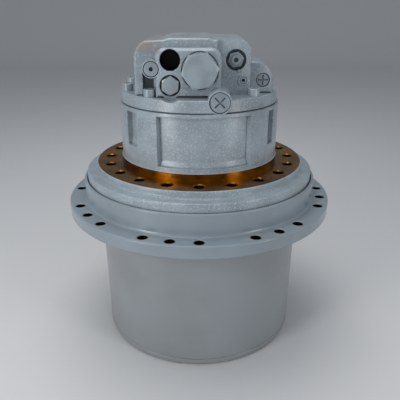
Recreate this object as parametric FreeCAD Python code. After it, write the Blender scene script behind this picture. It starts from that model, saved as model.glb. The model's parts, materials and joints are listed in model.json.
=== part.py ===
import FreeCAD, Part
import math
import os

from FreeCAD import Vector

# Excavator final drive: two planetary stages inside a turning ring gear drum,
# driven by a swash plate piston motor in the fixed case above it.
# Millimetres.  +Z runs up the spin axis from the end cover to the motor,
# the valve ports face -Y, and z = 0 is the surface that the drive stands on.

FRONT = 270.0           # azimuth of the port side, degrees from +X
RUNNING_GAP = 0.05      # radial clearance of a plain bearing
FACE_GAP = 0.1          # clearance between faces that slide on each other
SEAT_GAP = 0.02         # clearance of a located, fixed fit

# ---- driving sizes: hub and sprocket flange ---------------------------------
FLANGE_RADIUS = 235.0
FLANGE_BOTTOM = 242.0
FLANGE_TOP = 264.0
NECK_RADIUS = 206.5
NECK_TOP = 301.0
NECK_FILLET = 4.0
SPROCKET_PITCH_RADIUS = 220.0
SPROCKET_HOLE_RADIUS = 8.0
SPROCKET_GROUPS = 8
SPROCKET_HOLES_IN_GROUP = 3
SPROCKET_HOLE_STEP = 11.25
HOLE_CHAMFER = 1.5
BARE_SPIGOT_RADIUS = 177.0

# ---- driving sizes: ring gear drum and end cover ----------------------------
DRUM_BOTTOM = 13.0
DRUM_TOP = 238.0
DRUM_RADIUS_BOTTOM = 178.5
DRUM_RADIUS_TOP = 181.0
DRUM_SPIGOT_RADIUS = 165.0
DRUM_RIM_BOTTOM = 166.0
DRUM_RIM_TOP = 182.0
DRUM_RIM_RADIUS = 143.0
COVER_BOTTOM = 2.0
COVER_SPIGOT_RADIUS = 159.0
COVER_SPIGOT_TOP = 24.0
COVER_BOLT_COUNT = 12
COVER_BOLT_PITCH_RADIUS = 168.0
COVER_BOLT_FIRST = FRONT - 11.5
COVER_BOLT_LENGTH = 34.0
BOLT_HEAD_DROP = COVER_BOTTOM   # the cover bolt heads stand proud of it, down to z = 0
OIL_PLUG_RADIUS = 92.0
OIL_PLUG_COUNT = 3
HOUSING_BOLT_COUNT = 16
HOUSING_BOLT_PITCH_RADIUS = 154.5
HOUSING_BOLT_LENGTH = 34.0
BOLT_RADIUS = 6.0
BOLT_HEAD_RADIUS = 9.0
LOW_HEAD_HEIGHT = 7.0
BOLT_HEAD_HEIGHT = 12.0
BOLT_SOCKET_FLATS = 10.0

# ---- driving sizes: gears ---------------------------------------------------
GEAR_MODULE = 4.0
PRESSURE_ANGLE = 25.0
FLANK_RELIEF = 0.14     # taken off each flank of every gear
RING_TEETH = 76
SUN_1_TEETH = 14
PLANET_1_TEETH = 31
PLANET_1_COUNT = 3
PLANET_1_FIRST = 90.0
SUN_2_TEETH = 20
SUN_2_BORE_RADIUS = 19.0
PLANET_2_TEETH = 28
PLANET_2_COUNT = 4
PLANET_2_FIRST = 45.0
RING_TEETH_BOTTOM = 28.0
RING_TEETH_TOP = 150.0
PLANET_1_BOTTOM = 36.0
PLANET_1_TOP = 68.0
CARRIER_1_BOTTOM = 71.0
CARRIER_1_TOP = 85.0
PLANET_2_BOTTOM = 92.0
PLANET_2_TOP = 144.0
CARRIER_2_BOTTOM = 147.0
CARRIER_2_TOP = 171.0
PIN_1_RADIUS = 16.0
PIN_2_RADIUS = 18.0
BUSH_WALL = 5.0
WASHER_WALL = 12.0
WASHER_THICKNESS = 1.8
PIN_HEAD_HEIGHT = 3.0

# ---- driving sizes: spindle, bearings and floating seal ---------------------
SPINDLE_RADIUS = 110.0
SPINDLE_SHOULDER_RADIUS = 118.0
SPINDLE_NOSE_RADIUS = 104.0
SPINDLE_BORE_RADIUS = 50.0
SPLINE_MODULE = 4.0
SPLINE_TEETH = 34
BEARING_OUTER_RADIUS = 145.0
BEARING_WIDTH = 34.0
LOWER_BEARING_BOTTOM = 186.0
UPPER_BEARING_BOTTOM = 224.0
BEARING_RIB_RADIUS = 138.0
BALL_RADIUS = 10.5
BALL_COUNT = 28
BALL_PITCH_RADIUS = (SPINDLE_RADIUS + BEARING_OUTER_RADIUS) / 2
BEARING_BOTTOMS = (LOWER_BEARING_BOTTOM, UPPER_BEARING_BOTTOM)
NUT_BOTTOM = 174.0
SEAL_FLOOR = 264.0
SEAL_MEETING = 282.0
SEAL_INNER_RADIUS = 156.0
SEAL_OUTER_RADIUS = 178.0
SEAL_HOUSING_RADIUS = 190.0
SEAL_LIP_RADIUS = 202.0
SEAL_SKIRT_BOTTOM = 283.5

# ---- driving sizes: fixed flange and motor case -----------------------------
FIXED_RING_RADIUS = 200.4
FIXED_RING_BOTTOM = 300.0
FIXED_LEDGE = 315.0
MOUNT_FACE_RADIUS = 182.5
MOUNT_FACE = 327.5
PILOT_RADIUS = 138.0
PILOT_TOP = 339.5
FRAME_HOLE_COUNT = 20
FRAME_PITCH_RADIUS = 160.0
FRAME_HOLE_RADIUS = 8.75
FRAME_HOLE_DEPTH = 22.0
CASE_RADIUS = 136.5
CASE_TOP = 431.0
CASE_RECESS_RADIUS = 127.5
CAVITY_FLOOR = 303.0
CAVITY_RADIUS = 100.0
BRAKE_BORE_RADIUS = 104.0
BRAKE_LEDGE = 376.0
BRAKE_CYLINDER_RADIUS = 112.0
BRAKE_CYLINDER_BOTTOM = 400.0
# recesses between the bolt bosses: (start, end, floor height), azimuth from the front
CASE_RECESSES = (
    (-28.6, 36.2, 346.0),
    (-58.4, -47.2, 370.0),
    (54.8, 63.0, 370.0),
    (112.0, 126.0, 370.0),
    (146.0, 170.0, 346.0),
    (-170.0, -152.0, 346.0),
    (-132.0, -115.0, 370.0),
)

# ---- driving sizes: motor inside the case -----------------------------------
SHAFT_BOTTOM = 31.0
SHAFT_TOP = 447.0
SHAFT_SUN_RADIUS = 14.0
SHAFT_SLIM_RADIUS = 16.0
SHAFT_BEARING_RADIUS = 24.0
SHAFT_MID_RADIUS = 20.0
SHAFT_SPLINE_RADIUS = 22.0
SHAFT_REAR_RADIUS = 15.0
FRONT_BEARING_BOTTOM = 272.0
FRONT_BEARING_TOP = 298.0
FRONT_BEARING_RADIUS = 42.0
SHAFT_SEAL_BOTTOM = 262.0
REAR_BEARING_RADIUS = 28.0
SWASH_PIVOT = 345.0
SWASH_ANGLE = 14.0
SWASH_RADIUS = 74.0
SWASH_THICKNESS = 16.0
SWASH_CRADLE_RADIUS = 39.0
SWASH_BORE_RADIUS = 31.0
PISTON_COUNT = 9
PISTON_PITCH_RADIUS = 50.0
PISTON_RADIUS = 12.0
PISTON_LENGTH = 44.0
PISTON_BALL_RADIUS = 8.0
PISTON_LEAN = 1 / math.cos(math.radians(SWASH_ANGLE))
SHOE_RADIUS = 15.0
SHOE_HEIGHT = 12.0
BLOCK_RADIUS = 72.0
BLOCK_BOTTOM = 373.0
BLOCK_TOP = 424.0
VALVE_PLATE_RADIUS = 70.0
BRAKE_PLATE_THICKNESS = 2.2
BRAKE_PLATE_PAIRS = 2
BRAKE_TONGUES = 8
BRAKE_TONGUE_WIDTH = 14.0
BRAKE_TONGUE_REACH = 3.4
BRAKE_PISTON_BOTTOM = BRAKE_LEDGE + (2 * BRAKE_PLATE_PAIRS + 1) * (BRAKE_PLATE_THICKNESS + FACE_GAP)
BRAKE_PISTON_TOP = 422.0
CONTROL_PISTON_RADIUS = 10.0
CONTROL_PISTON_OFFSET = 56.0    # on the low side of the swash plate, towards -Y
CONTROL_PISTON_TIP = 5.0

# ---- driving sizes: rear cover with the valve block -------------------------
REAR_FLANGE_RADIUS = 133.0
REAR_FLANGE_TOP = 451.0
REAR_BOLT_PITCH_RADIUS = 123.0
REAR_BOLT_AZIMUTHS = (-105.0, -72.5, -38.5, 43.5, 100.0, 136.0, 180.0, -142.0)
REAR_BOLT_LENGTH = 44.0
BLOCK_LEFT = -100.0
BLOCK_RIGHT = 79.5
BLOCK_FRONT = -85.0
BLOCK_BACK = 72.0
VALVE_TOP = 533.5
HUMP_TOP = 536.0
BOSS_FRONT = -105.0
BOSS_LEFT = -66.0
BOSS_RIGHT = 33.5
BOSS_TOP = 523.0
BOSS_EDGE = 4.0
RIGHT_FACE = -76.0
OPEN_PORT = (-43.3, 506.2)
OPEN_PORT_RADIUS = 15.5
OPEN_PORT_DEPTH = 40.0
HEX_PORT = (-43.7, 469.0)
HEX_PORT_RADIUS = 16.0
HEX_PORT_FLATS = 25.0
SPEED_PORT = (-72.0, 493.0)
SPEED_PORT_RADIUS = 11.0
SPOOL_AXIS = (1.4, 491.0)
SPOOL_RADIUS = 15.0
SPOOL_PLUG_FLATS = 50.0
SPOOL_PLUG_RECESS = 28.0
RELIEF_AXIS = (57.0, 503.5)
RELIEF_RECESS_RADIUS = 16.0
RELIEF_FLATS = 22.0
CROSS_PORT = (31.0, 447.6)
CROSS_PORT_RADIUS = 16.0
CROSS_BOSS_RADIUS = 18.3
CROSS_BOSS_FRONT = -131.0
CROSS_PLUG_FRONT = -129.5
FRAME_PASS_RADIUS = PILOT_RADIUS - 0.2   # all that stands over the pilot goes through the frame's bore
EAR_CENTRE = (88.5, 471.0)
EAR_RADIUS = 29.0
EAR_FRONT = -60.0
EAR_BACK = 5.0
EAR_PLUG = (102.0, 471.0)
EAR_PLUG_RADIUS = 11.0
GAUGE_PLUG = (69.2, 473.0)
ORIFICE_PLUG = (62.0, 487.0)
HEX_THREAD_RADIUS = 10.5
SPEED_SPOOL_RADIUS = 7.0
SPEED_SPOOL_BACK = 20.0
SPOOL_HALF = 34.0
SPOOL_MIDDLE = (BOSS_FRONT + BLOCK_BACK) / 2
SPOOL_THREAD_RADIUS = 20.0
SPOOL_THREAD_LENGTH = 18.0
SPOOL_RECESS_DEPTH = 3.0
SPOOL_CAP_HEIGHT = 15.0
SPOOL_SPRING_SEAT = 12.0
RELIEF_SEAT = RIGHT_FACE + 12.0
RELIEF_BORE_RADIUS = 9.5
POPPET_RADIUS = 5.0
SMALL_PLUG_RADIUS = 6.0
ORIFICE_RADIUS = 2.6
BACK_RELIEF = (-52.0, BLOCK_BACK, 503.5)
BACK_GAUGE_PLUGS = ((-56.0, BLOCK_BACK, 470.0), (54.0, BLOCK_BACK, 478.0))


# ---- shape helpers -----------------------------------------------------------

def polar(radius, azimuth, height=0.0):
    angle = math.radians(azimuth)
    return Vector(radius * math.cos(angle), radius * math.sin(angle), height)


def from_front(azimuth):
    """Azimuth counted from the port side, positive towards +X."""
    return FRONT + azimuth


def turned(outline):
    """A solid turned about Z from (radius, height) corners."""
    corners = [Vector(radius, 0, height) for radius, height in outline]
    face = Part.Face(Part.makePolygon(corners + corners[:1]))
    return face.revolve(Vector(0, 0, 0), Vector(0, 0, 1), 360)


def tube(inner, outer, bottom, top):
    return turned([(inner, bottom), (outer, bottom), (outer, top), (inner, top)])


def rod(radius, bottom, top, centre=Vector(0, 0, 0)):
    base = Vector(centre.x, centre.y, bottom)
    return Part.makeCylinder(radius, top - bottom, base, Vector(0, 0, 1))


def donut(major, minor, height):
    return Part.makeTorus(major, minor, Vector(0, 0, height), Vector(0, 0, 1))


def around_z(shape, azimuth):
    copy = shape.copy()
    copy.rotate(Vector(0, 0, 0), Vector(0, 0, 1), azimuth)
    return copy


def moved(shape, x=0.0, y=0.0, z=0.0):
    copy = shape.copy()
    copy.translate(Vector(x, y, z))
    return copy


def ring_of(shape, count, first=0.0):
    """Copies of a shape spread evenly round Z."""
    step = 360.0 / count
    return [around_z(shape, first + number * step) for number in range(count)]


def extruded(wire, bottom, top):
    face = Part.Face(wire)
    return moved(face.extrude(Vector(0, 0, top - bottom)), z=bottom)


def hexagon(flats, bottom, top, turn=0.0):
    corner = flats / math.sqrt(3)
    points = [polar(corner, turn + 60 * side) for side in range(7)]
    return extruded(Part.makePolygon(points), bottom, top)


def cone(bottom_radius, top_radius, bottom, top, centre=Vector(0, 0, 0)):
    base = Vector(centre.x, centre.y, bottom)
    return Part.makeCone(bottom_radius, top_radius, top - bottom, base, Vector(0, 0, 1))


def facing_front(shape, x, y, z):
    """Stands a shape modelled along +Z at the origin on a front face: +Z turns to -Y."""
    copy = shape.copy()
    copy.rotate(Vector(0, 0, 0), Vector(1, 0, 0), 90)
    copy.translate(Vector(x, y, z))
    return copy


def front_rod(radius, place, y_front, y_back):
    """A round bar along Y, its axis at place = (x, z)."""
    x, z = place
    return facing_front(rod(radius, 0, y_back - y_front), x, y_back, z)


def front_slab(wire_points, y_front, y_back):
    """A slab with an outline in the XZ plane, between two Y planes."""
    corners = [Vector(x, y_front, z) for x, z in wire_points]
    face = Part.Face(Part.makePolygon(corners + corners[:1]))
    return face.extrude(Vector(0, y_back - y_front, 0))


def keep(name, shape):
    shape.exportStep("parts/" + name + ".step")


def together(shapes):
    return Part.makeCompound(shapes)


# ---- gear helpers --------------------------------------------------------------

def involute(angle):
    return math.tan(angle) - angle


class Gear:
    """Tooth geometry from tooth count and module; an internal gear is cut by its spaces."""

    def __init__(self, teeth, module=GEAR_MODULE, internal=False, relief=FLANK_RELIEF):
        self.teeth = teeth
        self.pitch = module * teeth / 2
        self.base = self.pitch * math.cos(math.radians(PRESSURE_ANGLE))
        addendum = module
        dedendum = 1.25 * module
        self.outer = self.pitch + (dedendum if internal else addendum)
        self.inner = self.pitch - (addendum if internal else dedendum)
        grow = relief if internal else -relief
        self.half_at_pitch = math.pi / (2 * teeth) + grow / self.pitch

    def half_angle(self, radius):
        """Half the tooth's angle at a radius, in degrees."""
        reach = max(radius, self.base)
        working = math.acos(self.base / reach)
        half = self.half_at_pitch + involute(math.radians(PRESSURE_ANGLE)) - involute(working)
        return math.degrees(half)

    def flank(self, centre, side):
        """Foot, middle and tip of one flank, for the tooth centred on an azimuth."""
        start = max(self.inner, self.base)
        radii = (start, (start + self.outer) / 2, self.outer)
        return [polar(r, centre + side * self.half_angle(r)) for r in radii]

    def outline(self, first):
        step = 360.0 / self.teeth
        edges = []
        for tooth in range(self.teeth):
            centre = first + tooth * step
            rise = self.flank(centre, -1)
            fall = self.flank(centre, 1)
            next_rise = self.flank(centre + step, -1)
            low_fall = polar(self.inner, centre + self.half_angle(self.inner))
            low_next = polar(self.inner, centre + step - self.half_angle(self.inner))
            edges.append(Part.Arc(*rise).toShape())
            edges.append(Part.Arc(rise[2], polar(self.outer, centre), fall[2]).toShape())
            edges.append(Part.Arc(*fall[::-1]).toShape())
            if self.inner < self.base:
                edges.append(Part.makeLine(fall[0], low_fall))
            root_middle = polar(self.inner, centre + step / 2)
            edges.append(Part.Arc(low_fall, root_middle, low_next).toShape())
            if self.inner < self.base:
                edges.append(Part.makeLine(low_next, next_rise[0]))
        return Part.Wire(edges)

    def solid(self, first, bottom, top):
        return extruded(self.outline(first), bottom, top)


def planet_phase(azimuth, planet_teeth, ring_teeth):
    """Azimuth of a planet tooth in mesh, where the ring gear has a space at azimuth 0."""
    return azimuth - ring_teeth * azimuth / planet_teeth


def sun_phase(azimuth, planet_first, planet_teeth, sun_teeth):
    """Azimuth of a sun tooth that meshes with a planet standing at an azimuth."""
    planet_turns = planet_teeth * (azimuth + 180 - planet_first) / 360
    return azimuth - (0.5 - planet_turns) * 360 / sun_teeth


RING = Gear(RING_TEETH, internal=True)
SUN_1 = Gear(SUN_1_TEETH)
PLANET_1 = Gear(PLANET_1_TEETH)
SUN_2 = Gear(SUN_2_TEETH)
PLANET_2 = Gear(PLANET_2_TEETH)
CENTRES_1 = SUN_1.pitch + PLANET_1.pitch
CENTRES_2 = SUN_2.pitch + PLANET_2.pitch
PLANET_1_AZIMUTHS = [PLANET_1_FIRST + 360 / PLANET_1_COUNT * n for n in range(PLANET_1_COUNT)]
PLANET_2_AZIMUTHS = [PLANET_2_FIRST + 360 / PLANET_2_COUNT * n for n in range(PLANET_2_COUNT)]


# ---- fasteners and plugs -------------------------------------------------------

def socket_bolt(head_height, length, depth=5.0):
    """Socket head bolt: the seat of its head is z = 0, the head above, the shank below."""
    outline = [
        (0, head_height),
        (BOLT_HEAD_RADIUS - 1, head_height),
        (BOLT_HEAD_RADIUS, head_height - 1),
        (BOLT_HEAD_RADIUS, 0),
        (BOLT_RADIUS - SEAT_GAP, 0),
        (BOLT_RADIUS - SEAT_GAP, 1 - length),
        (BOLT_RADIUS - 1, -length),
        (0, -length),
    ]
    socket = hexagon(BOLT_SOCKET_FLATS, head_height - depth, head_height + 1)
    return turned(outline).cut(socket)


def upside_down(shape):
    copy = shape.copy()
    copy.rotate(Vector(0, 0, 0), Vector(1, 0, 0), 180)
    return copy


def hex_plug(flats, height, thread_radius, thread_length, turn=0.0, bore=0.0):
    """Hex head plug on z = 0 with chamfered corners and a plain shank below."""
    corner = flats / math.sqrt(3)
    rise = (corner - flats / 2) * 0.6
    head = hexagon(flats, 0, height, turn)
    trim = turned([(0, 0), (corner + 1, 0), (corner + 1, height - rise - 0.6),
                   (flats / 2 - 0.5, height), (0, height)])
    plug = head.common(trim).fuse(rod(thread_radius, -thread_length, 0))
    if bore:
        plug = plug.cut(rod(bore, height / 3, height + 1))
    return plug


def cross_plug(radius, height, arm, width, depth, turn):
    """Round plug with a cross-shaped recess in its face."""
    plug = turned([(0, -height), (radius, -height), (radius, -1.2), (radius - 1.2, 0), (0, 0)])
    for quarter in (0, 90):
        slot = Part.makeBox(2 * arm, width, depth + 1, Vector(-arm, -width / 2, -depth))
        plug = plug.cut(around_z(slot, turn + quarter))
    return plug


def socket_plug(radius, height, flats, chamfer=0.8):
    """Round plug with a hexagon socket, its face at z = 0."""
    plug = turned([(0, -height), (radius, -height), (radius, -chamfer), (radius - chamfer, 0), (0, 0)])
    return plug.cut(hexagon(flats, -height * 0.6, 1))


# ---- hub side: turns with the sprocket ------------------------------------------

def sprocket_azimuths():
    found = []
    for group in range(SPROCKET_GROUPS):
        middle = from_front(-SPROCKET_HOLE_STEP) + group * 360 / SPROCKET_GROUPS
        for place in range(SPROCKET_HOLES_IN_GROUP):
            found.append(middle + (place - 1) * SPROCKET_HOLE_STEP)
    return found


def chamfered_hole(radius, bottom, top, both=False):
    """A tool for a through or blind hole whose mouth is chamfered at the top."""
    tool = rod(radius, bottom, top + 1)
    tool = tool.fuse(cone(radius, radius + HOLE_CHAMFER + 1, top - HOLE_CHAMFER, top + 1))
    if both:
        tool = tool.fuse(cone(radius + HOLE_CHAMFER + 1, radius, bottom - 1, bottom + HOLE_CHAMFER))
        tool = tool.fuse(rod(radius, bottom - 1, bottom))
    return tool


def make_hub():
    bearing_top = UPPER_BEARING_BOTTOM + BEARING_WIDTH
    lower_top = LOWER_BEARING_BOTTOM + BEARING_WIDTH
    seat = BEARING_OUTER_RADIUS + SEAT_GAP
    flange_chamfer = 2.0
    fillet = [
        (NECK_RADIUS + NECK_FILLET * (1 - math.sin(math.radians(a))),
         FLANGE_TOP + NECK_FILLET * (1 - math.cos(math.radians(a))))
        for a in (0, 30, 60, 90)
    ]
    outline = [
        (seat, DRUM_RIM_TOP),
        (DRUM_SPIGOT_RADIUS, DRUM_RIM_TOP),
        (DRUM_SPIGOT_RADIUS, DRUM_TOP),
        (BARE_SPIGOT_RADIUS, DRUM_TOP),
        (BARE_SPIGOT_RADIUS, FLANGE_BOTTOM),
        (FLANGE_RADIUS - flange_chamfer, FLANGE_BOTTOM),
        (FLANGE_RADIUS, FLANGE_BOTTOM + flange_chamfer),
        (FLANGE_RADIUS, FLANGE_TOP - flange_chamfer),
        (FLANGE_RADIUS - flange_chamfer, FLANGE_TOP),
    ] + fillet + [
        (NECK_RADIUS, NECK_TOP - 1.5),
        (NECK_RADIUS - 1.5, NECK_TOP),
        (SEAL_LIP_RADIUS, NECK_TOP),
        (SEAL_LIP_RADIUS, SEAL_MEETING),
        (SEAL_HOUSING_RADIUS, SEAL_MEETING - 4),
        (SEAL_HOUSING_RADIUS, SEAL_FLOOR),
        (SEAL_INNER_RADIUS - 6, SEAL_FLOOR),
        (SEAL_INNER_RADIUS - 6, SEAL_FLOOR + 10),
        (SPINDLE_SHOULDER_RADIUS + 6, SEAL_FLOOR + 10),
        (SPINDLE_SHOULDER_RADIUS + 6, bearing_top + 2),
        (BEARING_RIB_RADIUS, bearing_top + 2),
        (BEARING_RIB_RADIUS, bearing_top),
        (seat, bearing_top),
        (seat, UPPER_BEARING_BOTTOM),
        (BEARING_RIB_RADIUS, UPPER_BEARING_BOTTOM),
        (BEARING_RIB_RADIUS, lower_top),
        (seat, lower_top),
    ]
    hub = turned(outline)
    hole = moved(chamfered_hole(SPROCKET_HOLE_RADIUS, FLANGE_BOTTOM, FLANGE_TOP, both=True),
                 x=SPROCKET_PITCH_RADIUS)
    tools = [around_z(hole, azimuth) for azimuth in sprocket_azimuths()]
    thread = moved(rod(BOLT_RADIUS, DRUM_RIM_TOP - 1, DRUM_RIM_TOP + HOUSING_BOLT_LENGTH - 14),
                   x=HOUSING_BOLT_PITCH_RADIUS)
    tools += ring_of(thread, HOUSING_BOLT_COUNT)
    return hub.cut(tools)


def make_drum():
    """Ring gear drum: teeth inside, a bolting rim above them and a slightly tapered wall."""
    edge = 1.2
    body = turned([
        (COVER_SPIGOT_RADIUS + 0.2, DRUM_BOTTOM),
        (DRUM_RADIUS_BOTTOM - edge, DRUM_BOTTOM),
        (DRUM_RADIUS_BOTTOM, DRUM_BOTTOM + edge),
        (DRUM_RADIUS_TOP, DRUM_TOP - edge),
        (DRUM_RADIUS_TOP - edge, DRUM_TOP),
        (DRUM_SPIGOT_RADIUS + SEAT_GAP, DRUM_TOP),
        (DRUM_SPIGOT_RADIUS + SEAT_GAP, DRUM_RIM_TOP),
        (DRUM_RIM_RADIUS, DRUM_RIM_TOP),
        (DRUM_RIM_RADIUS, DRUM_RIM_BOTTOM),
        (DRUM_SPIGOT_RADIUS, DRUM_RIM_BOTTOM),
        (DRUM_SPIGOT_RADIUS, RING_TEETH_TOP),
        (RING.outer + 1, RING_TEETH_TOP),
        (RING.outer + 1, RING_TEETH_BOTTOM),
        (COVER_SPIGOT_RADIUS + 0.2, RING_TEETH_BOTTOM),
    ])
    teeth = rod(RING.outer + 1.5, RING_TEETH_BOTTOM, RING_TEETH_TOP)
    teeth = teeth.cut(RING.solid(0.0, RING_TEETH_BOTTOM - 1, RING_TEETH_TOP + 1))
    drum = body.fuse(teeth)
    cover_thread = moved(rod(BOLT_RADIUS, DRUM_BOTTOM - 1, DRUM_BOTTOM + COVER_BOLT_LENGTH - 4),
                         x=COVER_BOLT_PITCH_RADIUS)
    rim_hole = moved(rod(BOLT_RADIUS, DRUM_RIM_BOTTOM - 1, DRUM_RIM_TOP + 1),
                     x=HOUSING_BOLT_PITCH_RADIUS)
    tools = ring_of(cover_thread, COVER_BOLT_COUNT, COVER_BOLT_FIRST)
    tools += ring_of(rim_hole, HOUSING_BOLT_COUNT)
    return drum.cut(tools)


def make_end_cover():
    """Dished cover plate with counterbored bolt holes, a seal groove and three plug bosses."""
    groove_floor = COVER_SPIGOT_RADIUS - 4.8
    plate = turned([
        (0, COVER_BOTTOM + 6),
        (118, COVER_BOTTOM + 6),
        (124, COVER_BOTTOM),
        (DRUM_RADIUS_BOTTOM - 3, COVER_BOTTOM),
        (DRUM_RADIUS_BOTTOM, COVER_BOTTOM + 3),
        (DRUM_RADIUS_BOTTOM, DRUM_BOTTOM - 1),
        (DRUM_RADIUS_BOTTOM - 1, DRUM_BOTTOM),
        (COVER_SPIGOT_RADIUS, DRUM_BOTTOM),
        (COVER_SPIGOT_RADIUS, DRUM_BOTTOM + 2),
        (groove_floor, DRUM_BOTTOM + 2),
        (groove_floor, DRUM_BOTTOM + 7.2),
        (COVER_SPIGOT_RADIUS, DRUM_BOTTOM + 7.2),
        (COVER_SPIGOT_RADIUS, COVER_SPIGOT_TOP),
        (COVER_SPIGOT_RADIUS - 14, COVER_SPIGOT_TOP),
        (COVER_SPIGOT_RADIUS - 22, COVER_SPIGOT_TOP - 6),
        (34, COVER_SPIGOT_TOP - 6),
        (34, COVER_SPIGOT_TOP),
        (0, COVER_SPIGOT_TOP),
    ])
    boss = cone(17, 20, COVER_BOTTOM + 1.5, COVER_BOTTOM + 6, polar(OIL_PLUG_RADIUS, 0))
    plate = plate.fuse(ring_of(boss, OIL_PLUG_COUNT, FRONT))
    seat = COVER_BOTTOM - BOLT_HEAD_DROP + LOW_HEAD_HEIGHT
    bolt_hole = rod(BOLT_RADIUS, COVER_BOTTOM - 1, DRUM_BOTTOM + 1)
    counterbore = rod(BOLT_HEAD_RADIUS + 0.8, COVER_BOTTOM - 1, seat)
    tool = moved(bolt_hole.fuse(counterbore), x=COVER_BOLT_PITCH_RADIUS)
    tools = ring_of(tool, COVER_BOLT_COUNT, COVER_BOLT_FIRST)
    plug_hole = moved(rod(10, COVER_BOTTOM, COVER_SPIGOT_TOP - 4), x=OIL_PLUG_RADIUS)
    tools += ring_of(plug_hole, OIL_PLUG_COUNT, FRONT)
    return plate.cut(tools)


def make_end_cover_bolts():
    bolt = upside_down(socket_bolt(LOW_HEAD_HEIGHT, COVER_BOLT_LENGTH, depth=3.5))
    bolt = moved(bolt, x=COVER_BOLT_PITCH_RADIUS, z=COVER_BOTTOM - BOLT_HEAD_DROP + LOW_HEAD_HEIGHT)
    return together(ring_of(bolt, COVER_BOLT_COUNT, COVER_BOLT_FIRST))


def make_housing_bolts():
    bolt = upside_down(socket_bolt(BOLT_HEAD_HEIGHT, HOUSING_BOLT_LENGTH))
    bolt = moved(bolt, x=HOUSING_BOLT_PITCH_RADIUS, z=DRUM_RIM_BOTTOM)
    return together(ring_of(bolt, HOUSING_BOLT_COUNT))


def make_cover_seal():
    section = 2.5
    return donut(COVER_SPIGOT_RADIUS + 0.2 - section, section, DRUM_BOTTOM + 4.6)


def make_oil_plugs():
    plug = upside_down(socket_plug(10 - SEAT_GAP, COVER_SPIGOT_TOP - 6 - COVER_BOTTOM - 1.5, 8))
    plug = moved(plug, x=OIL_PLUG_RADIUS, z=COVER_BOTTOM + 1.5)
    return together(ring_of(plug, OIL_PLUG_COUNT, FRONT))


def make_thrust_button():
    """Hardened pad on the cover that the drive shaft's end runs against."""
    foot = COVER_SPIGOT_TOP
    return turned([(0, foot), (26, foot), (26, foot + 3), (18, SHAFT_BOTTOM - FACE_GAP),
                   (0, SHAFT_BOTTOM - FACE_GAP)])


# ---- main bearings ----------------------------------------------------------------

def make_bearing_rings(inner_side):
    """Inner or outer rings of the two ball bearings, each with its ball groove."""
    rings = []
    land = 4.0
    for bottom in BEARING_BOTTOMS:
        if inner_side:
            ring = tube(SPINDLE_RADIUS + SEAT_GAP, BALL_PITCH_RADIUS - land, bottom, bottom + BEARING_WIDTH)
        else:
            ring = tube(BALL_PITCH_RADIUS + land, BEARING_OUTER_RADIUS, bottom, bottom + BEARING_WIDTH)
        groove = donut(BALL_PITCH_RADIUS, BALL_RADIUS + RUNNING_GAP, bottom + BEARING_WIDTH / 2)
        rings.append(ring.cut(groove))
    return together(rings)


def make_bearing_balls():
    balls = []
    for bottom in BEARING_BOTTOMS:
        ball = Part.makeSphere(BALL_RADIUS, Vector(BALL_PITCH_RADIUS, 0, bottom + BEARING_WIDTH / 2))
        balls += ring_of(ball, BALL_COUNT)
    return together(balls)


def make_bearing_nut():
    """Slotted nut that clamps the inner rings on the spindle."""
    nut = tube(SPINDLE_NOSE_RADIUS + SEAT_GAP, 122, NUT_BOTTOM, LOWER_BEARING_BOTTOM)
    slot = Part.makeBox(12, 10, 5, Vector(112, -5, NUT_BOTTOM))
    return nut.cut(ring_of(slot, 6, 30.0))


# ---- floating seal -----------------------------------------------------------------

def seal_ring(foot, face):
    """Metal seal ring with a sloped back, its lapped face at one end."""
    way = 1 if face > foot else -1
    return turned([
        (SEAL_INNER_RADIUS, foot),
        (SEAL_OUTER_RADIUS - 6, foot),
        (SEAL_OUTER_RADIUS, foot + way * 5),
        (SEAL_OUTER_RADIUS, face),
        (SEAL_INNER_RADIUS, face),
    ])


def seal_toric(height):
    minor = (SEAL_HOUSING_RADIUS - SEAL_OUTER_RADIUS) / 2
    return donut(SEAL_OUTER_RADIUS + minor, minor, height)


# ---- gear train ---------------------------------------------------------------------

def make_planet(gear, azimuth, centres, pin_radius, bottom, top, first):
    """A planet wheel with a recessed web and a bore that runs on its bush."""
    bore = pin_radius + BUSH_WALL + RUNNING_GAP
    wheel = gear.solid(first, bottom, top)
    hub_radius = pin_radius + WASHER_WALL + 2
    web = tube(hub_radius, gear.inner - 5, top - 3, top + 1)
    low_web = tube(hub_radius, gear.inner - 5, bottom - 1, bottom + 3)
    wheel = wheel.cut([rod(bore, bottom - 1, top + 1), web, low_web])
    place = polar(centres, azimuth)
    return moved(wheel, place.x, place.y)


def make_planet_1(number):
    azimuth = PLANET_1_AZIMUTHS[number]
    first = planet_phase(azimuth, PLANET_1_TEETH, RING_TEETH)
    return make_planet(PLANET_1, azimuth, CENTRES_1, PIN_1_RADIUS, PLANET_1_BOTTOM, PLANET_1_TOP, first)


def make_planet_2(number):
    azimuth = PLANET_2_AZIMUTHS[number]
    first = planet_phase(azimuth, PLANET_2_TEETH, RING_TEETH)
    return make_planet(PLANET_2, azimuth, CENTRES_2, PIN_2_RADIUS, PLANET_2_BOTTOM, PLANET_2_TOP, first)


def make_sun_1():
    azimuth = PLANET_1_AZIMUTHS[0]
    planet_first = planet_phase(azimuth, PLANET_1_TEETH, RING_TEETH)
    first = sun_phase(azimuth, planet_first, PLANET_1_TEETH, SUN_1_TEETH)
    sun = SUN_1.solid(first, PLANET_1_BOTTOM - 3, PLANET_1_TOP + 2)
    return sun.cut(rod(SHAFT_SUN_RADIUS + SEAT_GAP, 0, CARRIER_1_TOP))


CARRIER_SPLINE = Gear(16, relief=0.05)


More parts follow.
